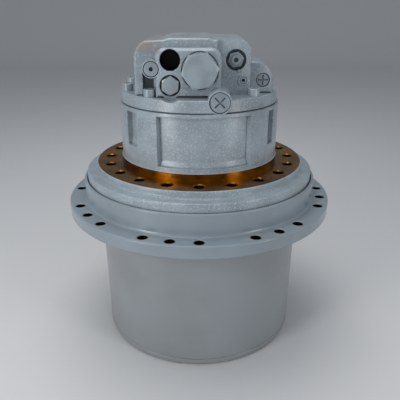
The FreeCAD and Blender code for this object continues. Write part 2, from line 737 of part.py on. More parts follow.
def make_sun_2():
    """Second sun on a sleeve whose lower end is splined into the first carrier."""
    azimuth = PLANET_2_AZIMUTHS[0]
    planet_first = planet_phase(azimuth, PLANET_2_TEETH, RING_TEETH)
    first = sun_phase(azimuth, planet_first, PLANET_2_TEETH, SUN_2_TEETH)
    teeth = SUN_2.solid(first, PLANET_2_BOTTOM - 2, PLANET_2_TOP + 2)
    spline = CARRIER_SPLINE.solid(0, CARRIER_1_BOTTOM, PLANET_2_BOTTOM - 2)
    return teeth.fuse(spline).cut(rod(SUN_2_BORE_RADIUS, 0, CARRIER_2_TOP))


def lobed_plate(centres, azimuths, lobe_radius, body_radius, bottom, top):
    """A carrier plate: a round body with a lobe round each planet pin."""
    plate = rod(body_radius, bottom, top)
    lobes = [rod(lobe_radius, bottom, top, polar(centres, azimuth)) for azimuth in azimuths]
    return plate.fuse(lobes)


def make_carrier_1():
    plate = lobed_plate(CENTRES_1, PLANET_1_AZIMUTHS, 34, 84, CARRIER_1_BOTTOM, CARRIER_1_TOP)
    space = Gear(CARRIER_SPLINE.teeth, relief=-0.05).solid(0, CARRIER_1_BOTTOM - 1, CARRIER_1_TOP + 1)
    tools = [space]
    tools += [rod(PIN_1_RADIUS, 0, CARRIER_2_TOP, polar(CENTRES_1, a)) for a in PLANET_1_AZIMUTHS]
    tools += [rod(14, 0, CARRIER_2_TOP, polar(62, a + 60)) for a in PLANET_1_AZIMUTHS]
    return plate.cut(tools)


def make_carrier_2():
    """Fixed carrier: four lobes, splined on the nose of the spindle."""
    plate = lobed_plate(CENTRES_2, PLANET_2_AZIMUTHS, 36, 120, CARRIER_2_BOTTOM, CARRIER_2_TOP)
    space = Gear(SPLINE_TEETH, SPLINE_MODULE, relief=-0.05)
    tools = [space.solid(0, CARRIER_2_BOTTOM + 8, CARRIER_2_TOP + 1)]
    tools.append(rod(SUN_2.outer + 3, CARRIER_2_BOTTOM - 1, CARRIER_2_TOP))
    tools += [rod(PIN_2_RADIUS, 0, SPINDLE_RADIUS * 2, polar(CENTRES_2, a)) for a in PLANET_2_AZIMUTHS]
    return plate.cut(tools)


def make_pins(radius, centres, azimuths, head_bottom, top):
    """Planet pins with a head below that carries the lower thrust washer."""
    pins = []
    for azimuth in azimuths:
        place = polar(centres, azimuth)
        head = rod(radius + 8, head_bottom, head_bottom + PIN_HEAD_HEIGHT, place)
        pins.append(head.fuse(rod(radius, head_bottom, top, place)))
    return together(pins)


def make_planet_bearings(radius, centres, azimuths, bottom, top):
    """The bush on each planet pin and the thrust washers at its two ends."""
    bearing = [tube(radius, radius + BUSH_WALL, bottom, top)]
    for low in (bottom - FACE_GAP - WASHER_THICKNESS, top + FACE_GAP):
        bearing.append(tube(radius, radius + WASHER_WALL, low, low + WASHER_THICKNESS))
    places = [polar(centres, azimuth) for azimuth in azimuths]
    return together([moved(piece, place.x, place.y) for place in places for piece in bearing])


# ---- motor case and spindle ------------------------------------------------------------

def arc_pocket(start, end, inner, outer, bottom, top):
    """A pocket between two radii and two azimuths with a rounded lower edge."""
    corners = [Vector(inner, 0, bottom + 8), Vector(inner, 0, top), Vector(outer, 0, top),
               Vector(outer, 0, bottom), Vector(inner + 3, 0, bottom)]
    face = Part.Face(Part.makePolygon(corners + corners[:1]))
    wedge = face.revolve(Vector(0, 0, 0), Vector(0, 0, 1), end - start)
    return around_z(wedge, start)


def make_motor_case():
    """One casting: motor housing, fixed flange and the spindle that carries the bearings."""
    shaft_gap = SHAFT_BEARING_RADIUS + 2
    outline = [
        (SPINDLE_BORE_RADIUS, CARRIER_2_TOP),
        (SPINDLE_NOSE_RADIUS, CARRIER_2_TOP),
        (SPINDLE_NOSE_RADIUS, LOWER_BEARING_BOTTOM),
        (SPINDLE_RADIUS, LOWER_BEARING_BOTTOM),
        (SPINDLE_RADIUS, UPPER_BEARING_BOTTOM + BEARING_WIDTH),
        (SPINDLE_SHOULDER_RADIUS, UPPER_BEARING_BOTTOM + BEARING_WIDTH),
        (SPINDLE_SHOULDER_RADIUS, SEAL_SKIRT_BOTTOM + 4),
        (SEAL_INNER_RADIUS - 12, FIXED_RING_BOTTOM),
        (SEAL_HOUSING_RADIUS, FIXED_RING_BOTTOM),
        (SEAL_HOUSING_RADIUS, SEAL_SKIRT_BOTTOM),
        (FIXED_RING_RADIUS, SEAL_SKIRT_BOTTOM),
        (FIXED_RING_RADIUS, FIXED_LEDGE - 2),
        (FIXED_RING_RADIUS - 2, FIXED_LEDGE),
        (MOUNT_FACE_RADIUS + 2.5, FIXED_LEDGE),
        (MOUNT_FACE_RADIUS, FIXED_LEDGE + 2.5),
        (MOUNT_FACE_RADIUS, MOUNT_FACE - 1.5),
        (MOUNT_FACE_RADIUS - 1.5, MOUNT_FACE),
        (PILOT_RADIUS, MOUNT_FACE),
        (PILOT_RADIUS, PILOT_TOP - 1),
        (PILOT_RADIUS - 1, PILOT_TOP),
        (CASE_RADIUS, PILOT_TOP),
        (CASE_RADIUS, CASE_TOP),
        (BRAKE_CYLINDER_RADIUS, CASE_TOP),
        (BRAKE_CYLINDER_RADIUS, BRAKE_CYLINDER_BOTTOM),
        (BRAKE_BORE_RADIUS, BRAKE_CYLINDER_BOTTOM),
        (BRAKE_BORE_RADIUS, BRAKE_LEDGE),
        (CAVITY_RADIUS, BRAKE_LEDGE),
        (CAVITY_RADIUS, CAVITY_FLOOR + 6),
        (CAVITY_RADIUS - 6, CAVITY_FLOOR),
        (shaft_gap, CAVITY_FLOOR),
        (shaft_gap, FRONT_BEARING_TOP),
        (FRONT_BEARING_RADIUS + SEAT_GAP, FRONT_BEARING_TOP),
        (FRONT_BEARING_RADIUS + SEAT_GAP, SHAFT_SEAL_BOTTOM),
        (SPINDLE_BORE_RADIUS, SHAFT_SEAL_BOTTOM),
    ]
    case = turned(outline)
    nose = Gear(SPLINE_TEETH, SPLINE_MODULE, relief=0.05)
    nose = nose.solid(0, CARRIER_2_BOTTOM + 8.2, CARRIER_2_TOP)
    nose = nose.cut(rod(SPINDLE_BORE_RADIUS, CARRIER_2_BOTTOM, CARRIER_2_TOP + 1))
    case = case.fuse(nose)

    tools = []
    for start, end, floor in CASE_RECESSES:
        tools.append(arc_pocket(from_front(start), from_front(end), CASE_RECESS_RADIUS,
                                CASE_RADIUS + 2, floor, CASE_TOP - 6))
    frame_hole = chamfered_hole(FRAME_HOLE_RADIUS, MOUNT_FACE - FRAME_HOLE_DEPTH, MOUNT_FACE)
    tools += ring_of(moved(frame_hole, x=FRAME_PITCH_RADIUS), FRAME_HOLE_COUNT, FRONT)
    bolt_hole = moved(rod(BOLT_RADIUS, CASE_TOP + 20 - REAR_BOLT_LENGTH - 2, CASE_TOP + 1),
                      x=REAR_BOLT_PITCH_RADIUS)
    tools += [around_z(bolt_hole, from_front(azimuth)) for azimuth in REAR_BOLT_AZIMUTHS]
    control = rod(CONTROL_PISTON_RADIUS + RUNNING_GAP, CAVITY_FLOOR - 22, CAVITY_FLOOR + 30)
    tools.append(moved(control, y=-CONTROL_PISTON_OFFSET))
    case = case.cut(tools)

    # two saddles on the cavity floor carry the cradle of the swash plate
    saddles = []
    for side in (-1, 1):
        block = Part.makeBox(24, 56, 26, Vector(side * 52 - 12, -28, CAVITY_FLOOR - 1))
        saddles.append(block)
    bed = Part.makeCylinder(SWASH_CRADLE_RADIUS + RUNNING_GAP * 2, 2 * CAVITY_RADIUS,
                            Vector(-CAVITY_RADIUS, 0, SWASH_PIVOT), Vector(1, 0, 0))
    saddles = [saddle.cut(bed) for saddle in saddles]
    pad = tube(CONTROL_PISTON_RADIUS + RUNNING_GAP, CONTROL_PISTON_RADIUS + 6, CAVITY_FLOOR - 1,
               CAVITY_FLOOR + 3)
    return case.fuse(saddles + [moved(pad, y=-CONTROL_PISTON_OFFSET)])


# ---- motor inside ------------------------------------------------------------------------

def make_drive_shaft():
    """Stepped shaft from the first sun up through the motor to the rear bearing."""
    return turned([
        (0, SHAFT_BOTTOM),
        (SHAFT_SUN_RADIUS - 1.5, SHAFT_BOTTOM),
        (SHAFT_SUN_RADIUS, SHAFT_BOTTOM + 1.5),
        (SHAFT_SUN_RADIUS, CARRIER_1_BOTTOM),
        (SHAFT_SLIM_RADIUS, CARRIER_1_BOTTOM),
        (SHAFT_SLIM_RADIUS, SHAFT_SEAL_BOTTOM - 6),
        (SHAFT_BEARING_RADIUS, SHAFT_SEAL_BOTTOM - 2),
        (SHAFT_BEARING_RADIUS, FRONT_BEARING_TOP),
        (SHAFT_MID_RADIUS, FRONT_BEARING_TOP + 4),
        (SHAFT_MID_RADIUS, BLOCK_BOTTOM + 4),
        (SHAFT_SPLINE_RADIUS, BLOCK_BOTTOM + 6),
        (SHAFT_SPLINE_RADIUS, BLOCK_TOP),
        (SHAFT_REAR_RADIUS, BLOCK_TOP + 4),
        (SHAFT_REAR_RADIUS, SHAFT_TOP - 1),
        (SHAFT_REAR_RADIUS - 1, SHAFT_TOP),
        (0, SHAFT_TOP),
    ])


def roller_bearing(inner, outer, bottom, top, count):
    """Ring pair with rollers between them, as a list of solids."""
    width = outer - inner
    roller = width * 0.22
    middle = (inner + outer) / 2
    race = roller + SEAT_GAP
    rings = [tube(inner, middle - race, bottom, top), tube(middle + race, outer, bottom, top)]
    bar = moved(rod(roller, bottom + 2, top - 2), x=middle)
    return rings + ring_of(bar, count)


def make_shaft_bearings():
    front = roller_bearing(SHAFT_BEARING_RADIUS + RUNNING_GAP, FRONT_BEARING_RADIUS,
                           FRONT_BEARING_BOTTOM, FRONT_BEARING_TOP, 18)
    rear = roller_bearing(SHAFT_REAR_RADIUS + RUNNING_GAP, REAR_BEARING_RADIUS,
                          CASE_TOP + 1, SHAFT_TOP, 16)
    return together(front + rear)


def make_shaft_seal():
    """Lip seal of the drive shaft under the front bearing."""
    bottom = SHAFT_SEAL_BOTTOM
    top = FRONT_BEARING_BOTTOM - 0.5
    return turned([
        (FRONT_BEARING_RADIUS, bottom),
        (FRONT_BEARING_RADIUS, top),
        (SHAFT_BEARING_RADIUS + 8, top),
        (SHAFT_BEARING_RADIUS + RUNNING_GAP, top - 3),
        (SHAFT_BEARING_RADIUS + RUNNING_GAP, top - 5),
        (SHAFT_BEARING_RADIUS + 6, bottom + 2),
        (FRONT_BEARING_RADIUS - 4, bottom),
    ])


def tilted(shape):
    """Turns a shape about the swash plate's pivot, from level to its working angle."""
    copy = shape.copy()
    copy.rotate(Vector(0, 0, SWASH_PIVOT), Vector(1, 0, 0), SWASH_ANGLE)
    return copy


def make_swash_plate():
    disc = rod(SWASH_RADIUS, SWASH_PIVOT - SWASH_THICKNESS, SWASH_PIVOT)
    cradle = Part.makeCylinder(SWASH_CRADLE_RADIUS, 22, Vector(-63, 0, SWASH_PIVOT), Vector(1, 0, 0))
    lobes = [cradle, moved(cradle, x=104)]
    above = rod(CAVITY_RADIUS, SWASH_PIVOT, SWASH_PIVOT + SWASH_CRADLE_RADIUS + 1)
    lobes = [lobe.cut(above) for lobe in lobes]
    plate = disc.fuse(lobes)
    bore = cone(SWASH_BORE_RADIUS + 8, SWASH_BORE_RADIUS, SWASH_PIVOT - SWASH_CRADLE_RADIUS - 1,
                SWASH_PIVOT + 1)
    return tilted(plate.cut(bore))


def shoe_height(azimuth):
    """How far the swash plane stands above its pivot over a piston."""
    return PISTON_PITCH_RADIUS * math.sin(math.radians(azimuth)) * math.tan(math.radians(SWASH_ANGLE))


def piston_azimuths():
    return [FRONT + 360 / PISTON_COUNT * number for number in range(PISTON_COUNT)]


def make_pistons():
    """Nine pistons, each with a ball end in its shoe and a hollow crown."""
    pistons = []
    for azimuth in piston_azimuths():
        centre_height = SWASH_PIVOT + shoe_height(azimuth) + SHOE_HEIGHT * PISTON_LEAN
        place = polar(PISTON_PITCH_RADIUS, azimuth, centre_height)
        ball = Part.makeSphere(PISTON_BALL_RADIUS, place)
        neck = rod(5.5, centre_height, centre_height + 10, place)
        body = turned([(0, 8), (6, 8), (PISTON_RADIUS, 13), (PISTON_RADIUS, PISTON_LENGTH - 1),
                       (PISTON_RADIUS - 1, PISTON_LENGTH), (6, PISTON_LENGTH), (6, 24), (0, 24)])
        body = moved(body, place.x, place.y, centre_height)
        pistons.append(ball.fuse([neck, body]))
    return pistons


def make_shoes():
    """Slipper shoes that ride on the swash plane, each with a socket for its ball."""
    shoes = []
    for azimuth in piston_azimuths():
        spot = polar(PISTON_PITCH_RADIUS, azimuth, SWASH_PIVOT + shoe_height(azimuth))
        shoe = turned([(0, FACE_GAP), (SHOE_RADIUS, FACE_GAP), (SHOE_RADIUS, 4), (11, 4), (11, SHOE_HEIGHT),
                       (0, SHOE_HEIGHT)])
        shoe.rotate(Vector(0, 0, 0), Vector(1, 0, 0), SWASH_ANGLE)
        shoe = moved(shoe, spot.x, spot.y, spot.z)
        centre = polar(PISTON_PITCH_RADIUS, azimuth, spot.z + SHOE_HEIGHT * PISTON_LEAN)
        tools = [Part.makeSphere(PISTON_BALL_RADIUS + RUNNING_GAP, centre)]
        shoes.append(shoe.cut(tools))
    return shoes


def make_retainer_plate():
    """Plate that holds the shoes down on the swash plane."""
    low = SWASH_PIVOT + 4.2
    plate = tube(34, PISTON_PITCH_RADIUS + SHOE_RADIUS + 2, low, low + 3)
    lean = math.radians(SWASH_ANGLE)
    holes = []
    for azimuth in piston_azimuths():
        spot = polar(PISTON_PITCH_RADIUS, azimuth)
        holes.append(rod(12.2, low - 1, low + 4, Vector(spot.x, spot.y / math.cos(lean), 0)))
    return tilted(plate.cut(holes))


def make_cylinder_block():
    """Cylinder block: nine bores, a port behind each, and grooves for the friction plates."""
    body = turned([
        (SHAFT_SPLINE_RADIUS + SEAT_GAP, BLOCK_BOTTOM + 6),
        (SHAFT_SPLINE_RADIUS + 6, BLOCK_BOTTOM),
        (BLOCK_RADIUS - 2, BLOCK_BOTTOM),
        (BLOCK_RADIUS, BLOCK_BOTTOM + 2),
        (BLOCK_RADIUS, BLOCK_TOP - 2),
        (BLOCK_RADIUS - 2, BLOCK_TOP),
        (SHAFT_SPLINE_RADIUS + SEAT_GAP, BLOCK_TOP),
    ])
    tools = []
    for azimuth in piston_azimuths():
        place = polar(PISTON_PITCH_RADIUS, azimuth)
        tools.append(rod(PISTON_RADIUS + RUNNING_GAP, BLOCK_BOTTOM - 1, BLOCK_TOP - 5, place))
        tools.append(rod(6, BLOCK_TOP - 6, BLOCK_TOP + 1, place))
    groove = Part.makeBox(10, BRAKE_TONGUE_WIDTH + 0.4, BLOCK_TOP - BLOCK_BOTTOM + 2,
                          Vector(BLOCK_RADIUS - BRAKE_TONGUE_REACH, -BRAKE_TONGUE_WIDTH / 2 - 0.2,
                                 BLOCK_BOTTOM - 1))
    tools += ring_of(groove, BRAKE_TONGUES)
    return body.cut(tools)


def kidney(start, end, bottom, top):
    """A curved slot over the cylinders' pitch circle."""
    width = 5.0
    slot = [rod(width, bottom, top, polar(PISTON_PITCH_RADIUS, azimuth)) for azimuth in (start, end)]
    corners = [Vector(PISTON_PITCH_RADIUS - width, 0, bottom), Vector(PISTON_PITCH_RADIUS + width, 0, bottom),
               Vector(PISTON_PITCH_RADIUS + width, 0, top), Vector(PISTON_PITCH_RADIUS - width, 0, top)]
    face = Part.Face(Part.makePolygon(corners + corners[:1]))
    band = face.revolve(Vector(0, 0, 0), Vector(0, 0, 1), end - start)
    return around_z(band, start).fuse(slot)


def make_valve_plate():
    bottom = BLOCK_TOP + FACE_GAP
    plate = tube(SHAFT_SPLINE_RADIUS + 4, VALVE_PLATE_RADIUS, bottom, CASE_TOP)
    return plate.cut([kidney(-65, 65, bottom - 1, CASE_TOP + 1), kidney(115, 245, bottom - 1, CASE_TOP + 1)])


def friction_plate(bottom):
    """A brake plate with square tongues that slide in the grooves of the cylinder block."""
    inner = BLOCK_RADIUS + 0.4
    plate = tube(inner, 94, bottom, bottom + BRAKE_PLATE_THICKNESS)
    tongue = Part.makeBox(BRAKE_TONGUE_REACH, BRAKE_TONGUE_WIDTH, BRAKE_PLATE_THICKNESS,
                          Vector(inner - BRAKE_TONGUE_REACH + 0.4, -BRAKE_TONGUE_WIDTH / 2, bottom))
    return plate.fuse(ring_of(tongue, BRAKE_TONGUES))


def brake_plates(friction):
    """Friction plates turn with the block; separator plates are held by the case."""
    plates = []
    step = BRAKE_PLATE_THICKNESS + FACE_GAP
    for number in range(2 * BRAKE_PLATE_PAIRS + 1):
        bottom = BRAKE_LEDGE + number * step
        if number % 2 == 1 and friction:
            plates.append(friction_plate(bottom))
        if number % 2 == 0 and not friction:
            plates.append(tube(80, BRAKE_BORE_RADIUS - 0.2, bottom, bottom + BRAKE_PLATE_THICKNESS))
    return together(plates)


def make_brake_piston():
    """Stepped ring piston that the disc spring presses on the brake plates."""
    return turned([
        (80, BRAKE_PISTON_BOTTOM),
        (BRAKE_BORE_RADIUS - RUNNING_GAP, BRAKE_PISTON_BOTTOM),
        (BRAKE_BORE_RADIUS - RUNNING_GAP, BRAKE_CYLINDER_BOTTOM + 0.5),
        (BRAKE_CYLINDER_RADIUS - RUNNING_GAP, BRAKE_CYLINDER_BOTTOM + 0.5),
        (BRAKE_CYLINDER_RADIUS - RUNNING_GAP, BRAKE_PISTON_TOP),
        (80, BRAKE_PISTON_TOP),
    ])


def make_brake_spring():
    """Disc spring between the brake piston and the rear cover."""
    foot = BRAKE_PISTON_TOP + 0.02
    crest = CASE_TOP - 0.02
    thick = 2.6
    return turned([(84, foot), (86, foot), (110, crest - thick), (110, crest), (108, crest), (84, foot + thick)])


def make_control_piston():
    """Small piston that pushes the swash plate back to its shallow angle."""
    lean = math.radians(SWASH_ANGLE)
    reach = CONTROL_PISTON_OFFSET + CONTROL_PISTON_TIP
    under = SWASH_PIVOT - SWASH_THICKNESS / math.cos(lean) - reach * math.tan(lean)
    top = under - 4 * FACE_GAP
    radius = CONTROL_PISTON_RADIUS
    piston = turned([(0, CAVITY_FLOOR - 20), (radius, CAVITY_FLOOR - 20), (radius, top - 4),
                     (CONTROL_PISTON_TIP, top), (0, top)])
    return moved(piston, y=-CONTROL_PISTON_OFFSET)


# ---- rear cover with the valve block ------------------------------------------------------

def rounded_front(outline, y_front, y_back, edge):
    """A slab whose front edges are chamfered all round by stacking a smaller face."""
    slab = front_slab(outline, y_front, y_back)
    rim = [e for e in slab.Edges if all(abs(v.Point.y - y_front) < 0.01 for v in e.Vertexes)]
    return slab.makeChamfer(edge, rim)


def arc_points(centre, radius, start, end, steps):
    """Points of a round stretch in the XZ plane, angles from +X towards +Z."""
    x, z = centre
    found = []
    for number in range(steps + 1):
        angle = math.radians(start + (end - start) * number / steps)
        found.append((x + radius * math.cos(angle), z + radius * math.sin(angle)))
    return found


def valve_body():
    low = REAR_FLANGE_TOP - 1
    right_round = 16.0
    left_round = 26.0
    outline = [(BLOCK_LEFT, low), (BLOCK_RIGHT, low)]
    outline += arc_points((BLOCK_RIGHT - right_round, VALVE_TOP - right_round), right_round, 0, 90, 4)
    outline += [(22, VALVE_TOP), (14, HUMP_TOP), (-46, HUMP_TOP), (-54, VALVE_TOP)]
    outline += arc_points((BLOCK_LEFT + left_round, VALVE_TOP - left_round), left_round, 110, 180, 4)
    body = rounded_front(outline, BLOCK_FRONT, BLOCK_BACK, 2.5)
    step = front_slab([(BOSS_RIGHT - 6, low - 1), (BLOCK_RIGHT + 1, low - 1),
                       (BLOCK_RIGHT + 1, VALVE_TOP + 5), (BOSS_RIGHT - 6, VALVE_TOP + 5)],
                      BLOCK_FRONT - 1, RIGHT_FACE)
    return body.cut(step)


def front_boss():
    low = REAR_FLANGE_TOP - 1
    shoulder = 14.0
    outline = [(BOSS_LEFT, low), (BOSS_RIGHT, low)]
    outline += arc_points((BOSS_RIGHT - shoulder, BOSS_TOP - shoulder), shoulder, 0, 90, 4)
    outline += arc_points((BOSS_LEFT + shoulder, BOSS_TOP - shoulder), shoulder, 90, 180, 4)
    return rounded_front(outline, BOSS_FRONT, BLOCK_FRONT + 5, BOSS_EDGE)


def make_rear_cover():
    """Rear cover and valve block, one casting: flange, body, port bosses and bores."""
    edge = 1.5
    flange = turned([
        (0, CASE_TOP),
        (REAR_FLANGE_RADIUS - edge, CASE_TOP),
        (REAR_FLANGE_RADIUS, CASE_TOP + edge),
        (REAR_FLANGE_RADIUS, REAR_FLANGE_TOP - edge),
        (REAR_FLANGE_RADIUS - edge, REAR_FLANGE_TOP),
        (0, REAR_FLANGE_TOP),
    ])
    ear_foot = REAR_FLANGE_TOP - 1
    ear_outline = [(BLOCK_RIGHT - 10, ear_foot), (EAR_CENTRE[0] + EAR_RADIUS, ear_foot)]
    ear_outline += arc_points(EAR_CENTRE, EAR_RADIUS, 0, 90, 6)
    ear_outline.append((BLOCK_RIGHT - 10, EAR_CENTRE[1] + EAR_RADIUS))
    ear = rounded_front(ear_outline, EAR_FRONT, EAR_BACK, 3.0)
    cross_boss = front_rod(CROSS_BOSS_RADIUS, CROSS_PORT, CROSS_BOSS_FRONT, BLOCK_FRONT + 10)
    speed_boss = front_rod(SPEED_PORT_RADIUS + 2.5, SPEED_PORT, BOSS_FRONT + 1, BLOCK_FRONT + 2)
    hex_boss = front_rod(HEX_PORT_RADIUS + 3.5, HEX_PORT, BOSS_FRONT, BLOCK_FRONT + 2)
    gauge_boss = front_rod(8.5, GAUGE_PLUG, RIGHT_FACE - 1.5, RIGHT_FACE + 2)
    joint_plane = rod(REAR_FLANGE_RADIUS * 2, CASE_TOP - CROSS_BOSS_RADIUS, CASE_TOP)
    frame_pass = rod(FRAME_PASS_RADIUS, CASE_TOP - CROSS_BOSS_RADIUS, VALVE_TOP)
    cross_boss = cross_boss.cut(joint_plane).common(frame_pass)
    cover = flange.fuse([valve_body(), front_boss(), ear, cross_boss, speed_boss, hex_boss, gauge_boss])

    tools = [
        front_rod(OPEN_PORT_RADIUS, OPEN_PORT, BOSS_FRONT - 1, BOSS_FRONT + OPEN_PORT_DEPTH),
        front_rod(HEX_PORT_RADIUS, HEX_PORT, BOSS_FRONT - 1, BOSS_FRONT + 6),
        front_rod(HEX_THREAD_RADIUS, HEX_PORT, BOSS_FRONT, BOSS_FRONT + 24),
        front_rod(HEX_PORT_RADIUS + 6, HEX_PORT, -REAR_FLANGE_RADIUS, BOSS_FRONT),
        front_rod(SPEED_PORT_RADIUS + 1, SPEED_PORT, BOSS_FRONT - 2, BOSS_FRONT + 4),
        front_rod(SPEED_SPOOL_RADIUS + RUNNING_GAP, SPEED_PORT, BOSS_FRONT, SPEED_SPOOL_BACK),
        front_rod(SPOOL_RADIUS + RUNNING_GAP, SPOOL_AXIS, BOSS_FRONT, BLOCK_BACK),
        front_rod(SPOOL_THREAD_RADIUS, SPOOL_AXIS, BOSS_FRONT - 1, BOSS_FRONT + SPOOL_THREAD_LENGTH + 1),
        front_rod(SPOOL_THREAD_RADIUS, SPOOL_AXIS, BLOCK_BACK - SPOOL_THREAD_LENGTH, BLOCK_BACK + 1),
        front_rod(SPOOL_PLUG_RECESS, SPOOL_AXIS, BOSS_FRONT - 1, BOSS_FRONT + SPOOL_RECESS_DEPTH),
        front_rod(RELIEF_RECESS_RADIUS, RELIEF_AXIS, RIGHT_FACE - 1, RELIEF_SEAT),
        front_rod(RELIEF_BORE_RADIUS, RELIEF_AXIS, RELIEF_SEAT - 1, RELIEF_SEAT + 46),
        front_rod(CROSS_PORT_RADIUS, CROSS_PORT, CROSS_BOSS_FRONT - 5, CROSS_PLUG_FRONT + 16),
        front_rod(EAR_PLUG_RADIUS, EAR_PLUG, EAR_FRONT - 1, EAR_FRONT + 16),
        front_rod(SMALL_PLUG_RADIUS, GAUGE_PLUG, RIGHT_FACE - 3, RIGHT_FACE + 14),
        front_rod(ORIFICE_RADIUS, ORIFICE_PLUG, RIGHT_FACE - 3, RIGHT_FACE + 10),
        rod(REAR_BEARING_RADIUS + SEAT_GAP, CASE_TOP - 1, SHAFT_TOP + 2),
    ]
    relief_back = facing_back(rod(RELIEF_BORE_RADIUS, -46, 1), *BACK_RELIEF)
    tools.append(relief_back)
    for place in BACK_GAUGE_PLUGS:
        tools.append(facing_back(rod(SMALL_PLUG_RADIUS, -14, 1), *place))
    groove = Part.makeBox(17, 24, 34, Vector(BLOCK_LEFT + 13, BLOCK_FRONT - 1, REAR_FLANGE_TOP + 1))
    upright = [e for e in groove.Edges if abs(e.Vertexes[0].Point.z - e.Vertexes[1].Point.z) > 30]
    tools.append(groove.makeFillet(5, [e for e in upright if e.Vertexes[0].Point.y > BLOCK_FRONT + 2]))
    hole = moved(rod(BOLT_RADIUS, CASE_TOP - 1, REAR_FLANGE_TOP + 1), x=REAR_BOLT_PITCH_RADIUS)
    tools += [around_z(hole, from_front(azimuth)) for azimuth in REAR_BOLT_AZIMUTHS]
    return cover.cut(tools)


def facing_back(shape, x, y, z):
    """Stands a shape modelled along +Z at the origin on the back face: +Z turns to +Y."""
    copy = shape.copy()
    copy.rotate(Vector(0, 0, 0), Vector(1, 0, 0), -90)
    copy.translate(Vector(x, y, z))
    return copy


def make_rear_cover_bolts():
    bolt = moved(socket_bolt(BOLT_HEAD_HEIGHT, REAR_BOLT_LENGTH), x=REAR_BOLT_PITCH_RADIUS,
                 z=REAR_FLANGE_TOP)
    return together([around_z(bolt, from_front(azimuth)) for azimuth in REAR_BOLT_AZIMUTHS])


# ---- valves in the block --------------------------------------------------------------------

def make_counterbalance_spool():
    """Spool with four lands and a drilled seat for a spring in each end."""
    neck = SPOOL_RADIUS - 5
    outline = [(6, -SPOOL_HALF), (SPOOL_RADIUS, -SPOOL_HALF)]
    for low, high in ((-22, -14), (-5, 5), (14, 22)):
        outline += [(SPOOL_RADIUS, low), (neck, low), (neck, high), (SPOOL_RADIUS, high)]
    outline += [(SPOOL_RADIUS, SPOOL_HALF), (6, SPOOL_HALF), (6, SPOOL_HALF - 12), (0, SPOOL_HALF - 12),
                (0, -SPOOL_HALF + 12), (6, -SPOOL_HALF + 12)]
    return facing_front(turned(outline), SPOOL_AXIS[0], SPOOL_MIDDLE, SPOOL_AXIS[1])


def spool_plug():
    """Large hex cap with a collar that closes an end of the spool bore, hollow for its spring."""
    head = hex_plug(SPOOL_PLUG_FLATS, SPOOL_CAP_HEIGHT - SPOOL_RECESS_DEPTH, SPOOL_THREAD_RADIUS - SEAT_GAP,
                    SPOOL_THREAD_LENGTH, turn=8.0)
    collar = rod(SPOOL_PLUG_RECESS - 1.2, 0, SPOOL_RECESS_DEPTH)
    cap = moved(head, z=SPOOL_RECESS_DEPTH).fuse(collar)
    return cap.cut(rod(SPOOL_SPRING_SEAT, -SPOOL_THREAD_LENGTH - 1, -6))


def make_spool_plugs():
    front = facing_front(spool_plug(), SPOOL_AXIS[0], BOSS_FRONT + SPOOL_RECESS_DEPTH, SPOOL_AXIS[1])
    back = facing_back(spool_plug(), SPOOL_AXIS[0], BLOCK_BACK, SPOOL_AXIS[1])
    return together([front, back])


def coil(radius, wire, length, turns):
    """A compression spring along +Z from z = 0."""
    path = Part.makeHelix((length - wire) / turns, length - wire, radius)
    section = Part.Wire(Part.makeCircle(wire / 2, Vector(radius, 0, 0), Vector(0, 1, 0)))
    pipe = Part.Wire(path).makePipeShell([section], True, True)
    return moved(pipe, z=wire / 2)


def make_spool_springs():
    """Centring springs, one from each cap to the spool."""
    front_end = BOSS_FRONT + SPOOL_RECESS_DEPTH + 6
    spool_front = SPOOL_MIDDLE - SPOOL_HALF
    wire = 3.0
    front = coil(10.2, wire, spool_front - front_end, 4)
    front = facing_front(front, SPOOL_AXIS[0], spool_front, SPOOL_AXIS[1])
    back_end = BLOCK_BACK - 6
    spool_back = SPOOL_MIDDLE + SPOOL_HALF
    back = facing_back(coil(10.2, wire, back_end - spool_back, 4), SPOOL_AXIS[0], spool_back, SPOOL_AXIS[1])
    return together([front, back])


def relief_body():
    """Relief valve cartridge: hex head with an adjuster hole, hollow for its poppet."""
    body = hex_plug(RELIEF_FLATS, 9.0, RELIEF_BORE_RADIUS - SEAT_GAP, 30.0, turn=12.0)
    sleeve = rod(7.2, 0, 13)
    body = body.fuse(sleeve)
    return body.cut([rod(3.6, 8, 14), rod(POPPET_RADIUS + RUNNING_GAP, -31, -8)])


def make_relief_valves():
    front = facing_front(relief_body(), RELIEF_AXIS[0], RELIEF_SEAT, RELIEF_AXIS[1])
    back = facing_back(relief_body(), *BACK_RELIEF)
    return together([front, back])


def poppet():
    """Cone-nosed poppet, its guided end inside the cartridge."""
    return turned([(0, -42), (4, -37), (POPPET_RADIUS, -36), (POPPET_RADIUS, -12), (0, -12)])


def make_relief_poppets():
    front = facing_front(poppet(), RELIEF_AXIS[0], RELIEF_SEAT, RELIEF_AXIS[1])
    back = facing_back(poppet(), *BACK_RELIEF)
    return [front, back]


def make_speed_spool():
    """Two-speed selector spool in its bore behind the small socket plug."""
    radius = SPEED_SPOOL_RADIUS
    neck = radius - 2.5
    length = 62.0
    outline = [(0, 0), (radius, 0), (radius, 14), (neck, 14), (neck, 26), (radius, 26), (radius, 38),
               (neck, 38), (neck, 50), (radius, 50), (radius, length), (0, length)]
    return facing_front(turned(outline), SPEED_PORT[0], SPEED_SPOOL_BACK - 30, SPEED_PORT[1])


def make_speed_spool_plug():
    plug = socket_plug(SPEED_PORT_RADIUS, 3.0, 6)
    shank = rod(SPEED_SPOOL_RADIUS - 0.2, -12, -2)
    plug = plug.fuse(shank).cut(hexagon(6, -6, 1))
    return facing_front(plug, SPEED_PORT[0], BOSS_FRONT + 1, SPEED_PORT[1])


def make_hex_port_plug():
    plug = hex_plug(HEX_PORT_FLATS, 9.0, HEX_THREAD_RADIUS - SEAT_GAP, 16.0, turn=26.0)
    return facing_front(plug, HEX_PORT[0], BOSS_FRONT + 6, HEX_PORT[1])


